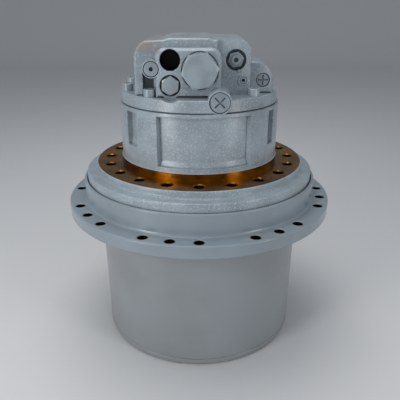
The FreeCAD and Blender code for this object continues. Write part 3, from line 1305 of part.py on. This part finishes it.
def make_cross_port_plug():
    plug = cross_plug(CROSS_PORT_RADIUS - SEAT_GAP, 15.0, 10.5, 2.2, 2.5, 45.0)
    return facing_front(plug, CROSS_PORT[0], CROSS_PLUG_FRONT, CROSS_PORT[1])


def make_ear_plug():
    plug = cross_plug(EAR_PLUG_RADIUS - SEAT_GAP, 12.0, 8.0, 2.0, 2.5, 0.0)
    return facing_front(plug, EAR_PLUG[0], EAR_FRONT + 2.5, EAR_PLUG[1])


def make_gauge_plugs():
    """Gauge port plugs and the orifice screw."""
    plug = socket_plug(SMALL_PLUG_RADIUS - SEAT_GAP, 12.0, 5)
    gauge = facing_front(plug, GAUGE_PLUG[0], RIGHT_FACE - 0.8, GAUGE_PLUG[1])
    back = [facing_back(plug, *place) for place in BACK_GAUGE_PLUGS]
    orifice = facing_front(rod(ORIFICE_RADIUS - SEAT_GAP, -9, 3), ORIFICE_PLUG[0], RIGHT_FACE, ORIFICE_PLUG[1])
    return together([gauge, orifice] + back)


# ---- write the sub-parts ------------------------------------------------------------------

def build():
    os.makedirs("parts", exist_ok=True)

    keep("hub", make_hub())
    keep("ring_gear_drum", make_drum())
    keep("end_cover", make_end_cover())
    keep("end_cover_bolts", make_end_cover_bolts())
    keep("housing_bolts", make_housing_bolts())
    keep("end_cover_seal", make_cover_seal())
    keep("oil_plugs", make_oil_plugs())
    keep("thrust_button", make_thrust_button())

    keep("main_bearing_outer_rings", make_bearing_rings(inner_side=False))
    keep("main_bearing_inner_rings", make_bearing_rings(inner_side=True))
    keep("main_bearing_balls", make_bearing_balls())
    keep("bearing_nut", make_bearing_nut())
    keep("seal_ring_turning", seal_ring(SEAL_FLOOR + 2, SEAL_MEETING - RUNNING_GAP))
    keep("seal_ring_fixed", seal_ring(FIXED_RING_BOTTOM - 2, SEAL_MEETING + RUNNING_GAP))
    keep("seal_toric_turning", seal_toric(SEAL_FLOOR + 8))
    keep("seal_toric_fixed", seal_toric(FIXED_RING_BOTTOM - 7))

    keep("sun_gear_1", make_sun_1())
    keep("sun_gear_2", make_sun_2())
    keep("carrier_1", make_carrier_1())
    keep("carrier_2", make_carrier_2())
    for number in range(PLANET_1_COUNT):
        keep("planet_gear_1_" + "abc"[number], make_planet_1(number))
    for number in range(PLANET_2_COUNT):
        keep("planet_gear_2_" + "abcd"[number], make_planet_2(number))
    washer_room = FACE_GAP + WASHER_THICKNESS
    low_1 = PLANET_1_BOTTOM - washer_room - PIN_HEAD_HEIGHT
    low_2 = PLANET_2_BOTTOM - washer_room - PIN_HEAD_HEIGHT
    keep("planet_pins_1", make_pins(PIN_1_RADIUS, CENTRES_1, PLANET_1_AZIMUTHS, low_1, CARRIER_1_TOP))
    keep("planet_pins_2", make_pins(PIN_2_RADIUS, CENTRES_2, PLANET_2_AZIMUTHS, low_2, CARRIER_2_TOP - 6))
    keep("planet_bearings_1", make_planet_bearings(PIN_1_RADIUS, CENTRES_1, PLANET_1_AZIMUTHS,
                                                   PLANET_1_BOTTOM, PLANET_1_TOP))
    keep("planet_bearings_2", make_planet_bearings(PIN_2_RADIUS, CENTRES_2, PLANET_2_AZIMUTHS,
                                                   PLANET_2_BOTTOM, PLANET_2_TOP))

    keep("motor_case", make_motor_case())
    keep("drive_shaft", make_drive_shaft())
    keep("shaft_bearings", make_shaft_bearings())
    keep("shaft_seal", make_shaft_seal())
    keep("swash_plate", make_swash_plate())
    keep("control_piston", make_control_piston())
    keep("motor_pistons", together(make_pistons()))
    keep("piston_shoes", together(make_shoes()))
    keep("shoe_retainer_plate", make_retainer_plate())
    keep("cylinder_block", make_cylinder_block())
    keep("valve_plate", make_valve_plate())
    keep("brake_friction_plates", brake_plates(friction=True))
    keep("brake_separator_plates", brake_plates(friction=False))
    keep("brake_piston", make_brake_piston())
    keep("brake_disc_spring", make_brake_spring())

    keep("rear_cover", make_rear_cover())
    keep("rear_cover_bolts", make_rear_cover_bolts())
    keep("counterbalance_spool", make_counterbalance_spool())
    keep("spool_plugs", make_spool_plugs())
    keep("spool_springs", make_spool_springs())
    keep("relief_valves", make_relief_valves())
    for side, needle in zip(("front", "back"), make_relief_poppets()):
        keep("relief_poppet_" + side, needle)
    keep("two_speed_spool", make_speed_spool())
    keep("two_speed_plug", make_speed_spool_plug())
    keep("hex_port_plug", make_hex_port_plug())
    keep("cross_port_plug", make_cross_port_plug())
    keep("drain_port_plug", make_ear_plug())
    keep("gauge_plugs", make_gauge_plugs())


build()
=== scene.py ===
import json
import math

import bmesh
import bpy
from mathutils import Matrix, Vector


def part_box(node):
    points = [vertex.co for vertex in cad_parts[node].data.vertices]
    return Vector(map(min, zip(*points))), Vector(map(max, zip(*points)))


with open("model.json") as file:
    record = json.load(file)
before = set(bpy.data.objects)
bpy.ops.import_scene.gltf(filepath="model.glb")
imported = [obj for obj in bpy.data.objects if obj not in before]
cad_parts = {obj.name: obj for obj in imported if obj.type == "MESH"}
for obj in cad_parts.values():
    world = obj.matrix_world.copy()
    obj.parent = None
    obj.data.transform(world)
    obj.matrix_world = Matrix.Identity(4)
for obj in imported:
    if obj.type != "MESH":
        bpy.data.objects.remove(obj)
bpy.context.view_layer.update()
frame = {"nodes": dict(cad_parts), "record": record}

# Excavator final drive with its travel motor, standing on its end cover.
# Metres, +Z up the spin axis, valve ports facing -Y.

nodes = frame["nodes"]
mounts = {mount["name"]: mount for mount in frame["record"]["mounts"]}
print("loaded", len(nodes), "nodes")


# small helpers

def toLinear(hexColour):
    channels = [int(hexColour[i:i + 2], 16) / 255 for i in (1, 3, 5)]
    linear = [c / 12.92 if c <= 0.04045 else ((c + 0.055) / 1.055) ** 2.4 for c in channels]
    return (*linear, 1.0)


def mm(length):
    return length / 1000


def noiseScale(size):
    return 1 / mm(size)     # a noise texture repeats about once per unit, so its grains come out this size


# a colour mix node keeps its factor in socket 0, its colours in 6 and 7 and its result in output 2

def addNode(tree, kind, settings={}, values={}, links={}):
    node = tree.nodes.new(kind)
    for name, value in settings.items():
        setattr(node, name, value)
    for name, value in values.items():
        node.inputs[name].default_value = value
    for name, socket in links.items():
        tree.links.new(socket, node.inputs[name])
    return node


def newMaterial(name):
    material = bpy.data.materials.new(name)
    material.use_nodes = True
    material.node_tree.nodes.clear()
    return material, material.node_tree


def addObject(name, mesh):
    item = bpy.data.objects.new(name, mesh)
    bpy.context.scene.collection.objects.link(item)
    return item


# enamel sprayed over iron: a satin coat that rounds the edges, darkened in the corners with painted shade,
# and, on castings, lets the sand grain of the mould show through

turnedEnamel = {
    "colour": "#85919A",        # grey-blue machinery enamel
    "thinColour": "#7C868D",    # thinner coat, a little darker and warmer
    "cloudSize": 130,           # mm, slow drift of the coat's shade
    "cloudThin": 0.35,          # cloud value of the thin coat
    "cloudFull": 0.62,          # cloud value of the full coat
    # colour of the painted shade in corners and recesses
    "cornerShadeColour": "#121314",
    "cornerShadeReach": 9,            # mm, how far from a corner the painted shade starts
    "cornerShadeStart": 0.50,         # share of open sky where it begins to show
    "cornerShadeFull": 0.12,          # share of open sky where it covers all
    "speckColour": "#98A4AD",
    "speckSize": 2.2,           # mm, drawn coarser than the 0.3 mm grit so that it shows at all
    "speckShare": 0.10,
    "speckStart": 0.52,         # noise value where a speck begins
    "speckFull": 0.72,
    "grainSize": 2.0,           # mm
    "grainDepth": 0.05,         # mm
    "edgeRadius": 1.6,          # mm, the coat rounds a chamfered edge about this much
    "roughness": 0.36,
    "coat": 0.55,
    "coatRoughness": 0.16,
}
drumEnamel = dict(
    turnedEnamel, colour="#868B8F", thinColour="#7E8285", speckColour="#92989B",
    coat=0.35, roughness=0.42)
castEnamel = dict(
    turnedEnamel, colour="#929EA6", thinColour="#808A91", cloudSize=45,
    speckColour="#C3CDD3", speckShare=0.42, speckSize=2.6,
    grainSize=3.2, grainDepth=0.55, edgeRadius=2.4,
    roughness=0.33, coat=0.5, coatRoughness=0.22)
plugEnamel = dict(turnedEnamel, colour="#8F9AA1", edgeRadius=0.8, cloudSize=30)


def enamelOn(name, look, worn=None):
    material, tree = newMaterial(name)
    place = addNode(tree, "ShaderNodeTexCoord").outputs["Object"]

    # shade of the coat, with light specks on it
    cloud = addNode(
        tree, "ShaderNodeTexNoise",
        values={"Scale": noiseScale(look["cloudSize"]), "Detail": 3.0},
        links={"Vector": place})
    shade = addNode(tree, "ShaderNodeValToRGB", links={"Fac": cloud.outputs["Fac"]})
    shade.color_ramp.elements[0].position = look["cloudThin"]
    shade.color_ramp.elements[0].color = toLinear(look["thinColour"])
    shade.color_ramp.elements[1].position = look["cloudFull"]
    shade.color_ramp.elements[1].color = toLinear(look["colour"])
    speck = addNode(
        tree, "ShaderNodeTexNoise",
        values={"Scale": noiseScale(look["speckSize"]), "Detail": 2.0},
        links={"Vector": place})
    speckMask = addNode(
        tree, "ShaderNodeMapRange",
        values={"From Min": look["speckStart"], "From Max": look["speckFull"],
                "To Min": 0.0, "To Max": look["speckShare"]},
        links={"Value": speck.outputs["Fac"]})
    speckled = addNode(
        tree, "ShaderNodeMix", settings={"data_type": "RGBA"},
        values={7: toLinear(look["speckColour"])},
        links={0: speckMask.outputs["Result"], 6: shade.outputs["Color"]})
    painted = speckled.outputs[2]
    if worn:
        painted = worn(tree, place, painted)

    # painted shade: the coat is darkened towards near black where little of the sky is open
    sky = addNode(
        tree, "ShaderNodeAmbientOcclusion", settings={"samples": 8},
        values={"Distance": mm(look["cornerShadeReach"])})
    cornerShade = addNode(
        tree, "ShaderNodeMapRange",
        values={"From Min": look["cornerShadeFull"], "From Max": look["cornerShadeStart"],
                "To Min": 1.0, "To Max": 0.0},
        links={"Value": sky.outputs["AO"]})
    final = addNode(
        tree, "ShaderNodeMix", settings={"data_type": "RGBA"},
        values={7: toLinear(look["cornerShadeColour"])},
        links={0: cornerShade.outputs["Result"], 6: painted})

    # grain of the surface under the coat, and the rounded edges
    grain = addNode(
        tree, "ShaderNodeTexNoise",
        values={"Scale": noiseScale(look["grainSize"]), "Detail": 4.0, "Roughness": 0.6},
        links={"Vector": place})
    edge = addNode(
        tree, "ShaderNodeBevel", settings={"samples": 6},
        values={"Radius": mm(look["edgeRadius"])})
    bump = addNode(
        tree, "ShaderNodeBump",
        values={"Strength": 1.0, "Distance": mm(look["grainDepth"])},
        links={"Height": grain.outputs["Fac"], "Normal": edge.outputs["Normal"]})
    shader = addNode(
        tree, "ShaderNodeBsdfPrincipled",
        values={"IOR": 1.5, "Roughness": look["roughness"], "Coat Weight": look["coat"],
                "Coat Roughness": look["coatRoughness"]},
        links={"Base Color": final.outputs[2], "Normal": bump.outputs["Normal"],
               "Coat Normal": edge.outputs["Normal"]})
    addNode(tree, "ShaderNodeOutputMaterial", links={"Surface": shader.outputs["BSDF"]})
    return material


# the top left shoulder of the valve block is rubbed down to brownish primer

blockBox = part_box("rear_cover")
blockFront = blockBox[0][1]
blockTop = blockBox[1][2]
rubbed = {
    "colour": "#8B8583",
    "right": mm(-55),               # where the patch ends along X
    "bottom": blockTop - mm(24),    # its lower edge
    "fade": 6,                      # mm, width of its ragged border
    "raggedSize": 12,               # mm
    "raggedStart": 0.3,             # noise value where the paint is still whole
    "raggedFull": 0.5,
}


def rubbedShoulder(tree, place, painted):
    split = addNode(tree, "ShaderNodeSeparateXYZ", links={"Vector": place})
    ragged = addNode(
        tree, "ShaderNodeTexNoise",
        values={"Scale": noiseScale(rubbed["raggedSize"]), "Detail": 3.0},
        links={"Vector": place})
    sideways = addNode(
        tree, "ShaderNodeMapRange",
        values={"From Min": rubbed["right"], "From Max": rubbed["right"] - mm(rubbed["fade"])},
        links={"Value": split.outputs["X"]})
    upwards = addNode(
        tree, "ShaderNodeMapRange",
        values={"From Min": rubbed["bottom"], "From Max": rubbed["bottom"] + mm(rubbed["fade"])},
        links={"Value": split.outputs["Z"]})
    both = addNode(
        tree, "ShaderNodeMath", settings={"operation": "MULTIPLY"},
        links={0: sideways.outputs["Result"], 1: upwards.outputs["Result"]})
    broken = addNode(
        tree, "ShaderNodeMapRange",
        values={"From Min": rubbed["raggedStart"], "From Max": rubbed["raggedFull"]},
        links={"Value": ragged.outputs["Fac"]})
    mask = addNode(
        tree, "ShaderNodeMath", settings={"operation": "MULTIPLY"},
        links={0: both.outputs["Value"], 1: broken.outputs["Result"]})
    mixed = addNode(
        tree, "ShaderNodeMix", settings={"data_type": "RGBA"},
        values={7: toLinear(rubbed["colour"])},
        links={0: mask.outputs["Value"], 6: painted})
    return mixed.outputs[2]


hubPaint = enamelOn("enamelOnTurnedIron", turnedEnamel)
drumPaint = enamelOn("enamelOnTurnedSteel", drumEnamel)
casePaint = enamelOn("enamelOnSandCastIron", castEnamel)
blockPaint = enamelOn("enamelOnCastValveBlock", castEnamel, worn=rubbedShoulder)
plugPaint = enamelOn("enamelOnPlugs", plugEnamel)


# bare metals: a drift of tone, and the lathe's or grinder's marks as fine lines round the spin axis

toneStart = 0.35    # noise value of the dark tone
toneEnd = 0.65      # and of the light one


def bareMetal(name, look):
    material, tree = newMaterial(name)
    place = addNode(tree, "ShaderNodeTexCoord").outputs["Object"]
    drift = addNode(
        tree, "ShaderNodeTexNoise",
        values={"Scale": noiseScale(look["patchSize"]), "Detail": 4.0},
        links={"Vector": place})

    # lines that follow the radius on a face and the height on a wall
    flat = addNode(
        tree, "ShaderNodeVectorMath", settings={"operation": "MULTIPLY"},
        values={1: (1, 1, 0)}, links={0: place})
    radius = addNode(
        tree, "ShaderNodeVectorMath", settings={"operation": "LENGTH"},
        links={0: flat.outputs["Vector"]})
    split = addNode(tree, "ShaderNodeSeparateXYZ", links={"Vector": place})
    along = addNode(
        tree, "ShaderNodeMath", settings={"operation": "ADD"},
        links={0: radius.outputs["Value"], 1: split.outputs["Z"]})
    lines = addNode(
        tree, "ShaderNodeTexNoise", settings={"noise_dimensions": "1D"},
        values={"Scale": noiseScale(look["lineSize"]), "Detail": 2.0},
        links={"W": along.outputs["Value"]})
    tone = addNode(
        tree, "ShaderNodeMix", settings={"data_type": "FLOAT"},
        values={0: look["lineShare"]},
        links={2: drift.outputs["Fac"], 3: lines.outputs["Fac"]})
    shade = addNode(tree, "ShaderNodeValToRGB", links={"Fac": tone.outputs[0]})
    shade.color_ramp.elements[0].position = toneStart
    shade.color_ramp.elements[0].color = toLinear(look["dark"])
    shade.color_ramp.elements[1].position = toneEnd
    shade.color_ramp.elements[1].color = toLinear(look["light"])
    bump = addNode(
        tree, "ShaderNodeBump",
        values={"Strength": 1.0, "Distance": mm(look["lineDepth"])},
        links={"Height": lines.outputs["Fac"]})
    shader = addNode(
        tree, "ShaderNodeBsdfPrincipled",
        values={"Metallic": look["metallic"], "Roughness": look["roughness"]},
        links={"Base Color": shade.outputs["Color"], "Normal": bump.outputs["Normal"]})
    addNode(tree, "ShaderNodeOutputMaterial", links={"Surface": shader.outputs["BSDF"]})
    return material


# rust proofing film over turned iron dries to a golden brown; turning marks about 1 mm apart
goldFilm = bareMetal("rustProofedTurnedIron", {
    "dark": "#5A3206", "light": "#B07A1C", "patchSize": 30,
    "lineSize": 1.4, "lineShare": 0.45, "lineDepth": 0.05,
    "metallic": 1.0, "roughness": 0.26})
# a drilled hole's oiled wall is painted nearly black, painted shade for the dark deep inside the hole; a
# glint still shows on its wall
boreShadeBlack = bareMetal("drilledIronPaintedShade", {
    "dark": "#070707", "light": "#1B1A19", "patchSize": 5,
    "lineSize": 1.5, "lineShare": 0.6, "lineDepth": 0.1,
    "metallic": 0.6, "roughness": 0.35})
# ground steel is even and pale, with marks too fine to feel
gearSteel = bareMetal("groundGearSteel", {
    "dark": "#8C8F92", "light": "#A9ABAD", "patchSize": 8,
    "lineSize": 0.8, "lineShare": 0.4, "lineDepth": 0.01,
    "metallic": 1.0, "roughness": 0.3})
# machined bronze is a warmer, duller yellow than brass
bronze = bareMetal("machinedBronze", {
    "dark": "#8F6A35", "light": "#B08545", "patchSize": 12,
    "lineSize": 0.8, "lineShare": 0.4, "lineDepth": 0.01,
    "metallic": 1.0, "roughness": 0.35})
# moulded rubber is matt and nearly black
rubber = bareMetal("mouldedNitrile", {
    "dark": "#141414", "light": "#1E1E1E", "patchSize": 6,
    "lineSize": 2.0, "lineShare": 0.2, "lineDepth": 0.01,
    "metallic": 0.0, "roughness": 0.6})

finish = {
    "hub": hubPaint,
    "ring_gear_drum": drumPaint,
    "end_cover": drumPaint,
    "motor_case": casePaint,
    "rear_cover": blockPaint,
}
for name in ("end_cover_bolts", "rear_cover_bolts", "spool_plugs", "relief_valves", "two_speed_plug",
             "hex_port_plug", "cross_port_plug", "drain_port_plug", "gauge_plugs", "oil_plugs"):
    finish[name] = plugPaint
for name in ("planet_bearings_1", "planet_bearings_2", "piston_shoes", "valve_plate"):
    finish[name] = bronze
for name in ("end_cover_seal", "seal_toric_turning", "seal_toric_fixed", "shaft_seal"):
    finish[name] = rubber
for name, node in nodes.items():
    node.data.materials.clear()
    node.data.materials.append(finish.get(name, gearSteel))


# faces of a painted casting that stay bare get a second or third finish; faces deep in a hole get a nearly
# black one, painted shade for the dark inside the hole

def refinish(name, material, test):
    mesh = nodes[name].data
    mesh.materials.append(material)
    slot = len(mesh.materials) - 1
    for face in mesh.polygons:
        if test(face.center, face.normal):
            face.material_index = slot


def reachOf(place):
    return math.hypot(place.x, place.y)


frameCircle = mounts["frame_bolt_circle"]["dims"]
framePitch = mm(frameCircle["pcd_mm"]) / 2
frameHole = mm(frameCircle["hole_r_mm"])
mountFace = mounts["frame_face"]["pos_m"][2]
pilotRadius = mm(mounts["frame_pilot"]["dims"]["r_mm"])
frameSide = {
    "edge": mm(180.3),      # the bare face's triangles have their centres inside this radius
    "pilotTop": mountFace + mm(12) - mm(0.8),   # the pilot's own chamfer is painted
    "chamfer": mm(1.6),     # depth of the hole chamfers, with a little to spare
    "holeBottom": mountFace - mm(23),
    "wallSlack": mm(0.4),   # a face's centre lies this close to the pilot's wall
    "holeSlack": mm(0.5),
    "faceSlack": mm(0.2),
}


def isMountFace(place, normal):
    reach = reachOf(place)
    onWall = abs(reach - pilotRadius) < frameSide["wallSlack"]
    onPilot = onWall and mountFace < place.z < frameSide["pilotTop"]
    level = mountFace - frameSide["chamfer"] < place.z < mountFace + frameSide["faceSlack"]
    return onPilot or (level and pilotRadius < reach < frameSide["edge"])


def isFrameHole(place, normal):
    inRing = abs(reachOf(place) - framePitch) < frameHole + frameSide["holeSlack"]
    return inRing and frameSide["holeBottom"] < place.z < mountFace - frameSide["chamfer"]


refinish("motor_case", goldFilm, isMountFace)
# the frame holes' walls get painted shade, nearly black
refinish("motor_case", boreShadeBlack, isFrameHole)

flangeTop = mounts["sprocket_face"]["pos_m"][2]
flangeBottom = flangeTop - mm(22)
upright = 0.3               # a wall's normal points up or down less than this
sprocketSide = {
    "pitch": mm(220),       # radius of the hole circle
    "hole": mm(8.2),        # radius of a hole, with a little to spare
    "spigotInside": mm(170),
    "spigotOutside": mm(180),
}


def isSprocketHole(place, normal):
    inRing = abs(reachOf(place) - sprocketSide["pitch"]) < sprocketSide["hole"]
    return inRing and abs(normal.z) < upright and flangeBottom < place.z < flangeTop


def isBareSpigot(place, normal):
    inRing = sprocketSide["spigotInside"] < reachOf(place) < sprocketSide["spigotOutside"]
    return inRing and abs(normal.z) < upright and place.z < flangeBottom


# the sprocket holes' walls get painted shade, nearly black
refinish("hub", boreShadeBlack, isSprocketHole)
refinish("hub", goldFilm, isBareSpigot)

port = mounts["main_port"]
portX, portZ = port["pos_m"][0], port["pos_m"][2]
portRadius = mm(port["dims"]["r_mm"])
portSlack = mm(0.3)
behindFront = mm(20)        # the port opens further back than this from the foremost boss


def isPort(place, normal):
    across = math.hypot(place.x - portX, place.z - portZ)
    return across < portRadius + portSlack and place.y > blockFront + behindFront


# the port's bore gets painted shade, nearly black
refinish("rear_cover", boreShadeBlack, isPort)
print("materials done")


# camera

camera = {
    "distance": 0.894,
    "elevation": 22.5,      # degrees
    "lens": 42.3,           # mm
    "sensor": 36,           # mm
    "target": (0.0, 0.0, 0.239),
    "shiftX": 0.0023,
}
cameraData = bpy.data.cameras.new("camera")
cameraData.lens = camera["lens"]
cameraData.sensor_width = camera["sensor"]
cameraData.shift_x = camera["shiftX"]
cameraObject = addObject("camera", cameraData)
rise = math.radians(camera["elevation"])
back = Vector((0, -math.cos(rise), math.sin(rise)))
cameraObject.location = Vector(camera["target"]) + back * camera["distance"]
cameraObject.rotation_euler = (-back).to_track_quat("-Z", "Y").to_euler()
bpy.context.scene.camera = cameraObject


# floor that curves up into a wall far behind, one plain pale sheet

stage = {
    "colour": "#CFCFD0",
    "roughness": 0.85,
    "near": -5.0,
    "far": 4.0,
    "bend": 1.5,            # radius of the curve between floor and wall
    "height": 5.0,
    "halfWidth": 8.0,
    "steps": 16,
}
floorMaterial, floorTree = newMaterial("palePaper")
floorShader = addNode(
    floorTree, "ShaderNodeBsdfPrincipled",
    values={"Base Color": toLinear(stage["colour"]), "Roughness": stage["roughness"]})
addNode(floorTree, "ShaderNodeOutputMaterial", links={"Surface": floorShader.outputs["BSDF"]})
profile = [(stage["near"], 0.0)]
for step in range(stage["steps"] + 1):
    angle = math.pi / 2 * step / stage["steps"]
    y = stage["far"] + stage["bend"] * math.sin(angle)
    z = stage["bend"] * (1 - math.cos(angle))
    profile.append((y, z))
profile.append((stage["far"] + stage["bend"], stage["height"]))
sheet = bmesh.new()
rows = [[sheet.verts.new((side * stage["halfWidth"], y, z)) for side in (-1, 1)] for y, z in profile]
for low, high in zip(rows, rows[1:]):
    sheet.faces.new((low[0], low[1], high[1], high[0])).smooth = True
floorMesh = bpy.data.meshes.new("floor")
sheet.to_mesh(floorMesh)
sheet.free()
floorMesh.materials.append(floorMaterial)
addObject("floor", floorMesh)


# soft studio light: two tall boxes beside the camera, a wide one overhead and the room's own glow

room = {"colour": "#DCE4EC", "strength": 0.42}
world = bpy.data.worlds.new("softRoom")
bpy.context.scene.world = world
world.use_nodes = True
background = world.node_tree.nodes["Background"]
background.inputs["Color"].default_value = toLinear(room["colour"])
background.inputs["Strength"].default_value = room["strength"]

lampAim = Vector((0, 0, 0.3))
lamps = {
    "leftBox": {"place": (-1.05, -1.05, 0.62), "wide": 0.45, "tall": 1.15, "power": 11},
    "rightBox": {"place": (1.15, -1.0, 0.62), "wide": 0.35, "tall": 1.15, "power": 6},
    "overhead": {"place": (-0.2, 0.1, 2.0), "wide": 1.6, "tall": 1.2, "power": 16},
}
for name, lamp in lamps.items():
    data = bpy.data.lights.new(name, "AREA")
    data.shape = "RECTANGLE"
    data.size = lamp["wide"]
    data.size_y = lamp["tall"]
    data.energy = lamp["power"]
    item = addObject(name, data)
    item.location = lamp["place"]
    item.rotation_euler = (lampAim - Vector(lamp["place"])).to_track_quat("-Z", "Y").to_euler()

bpy.context.scene.view_settings.view_transform = "Standard"
print("camera, floor and light done")
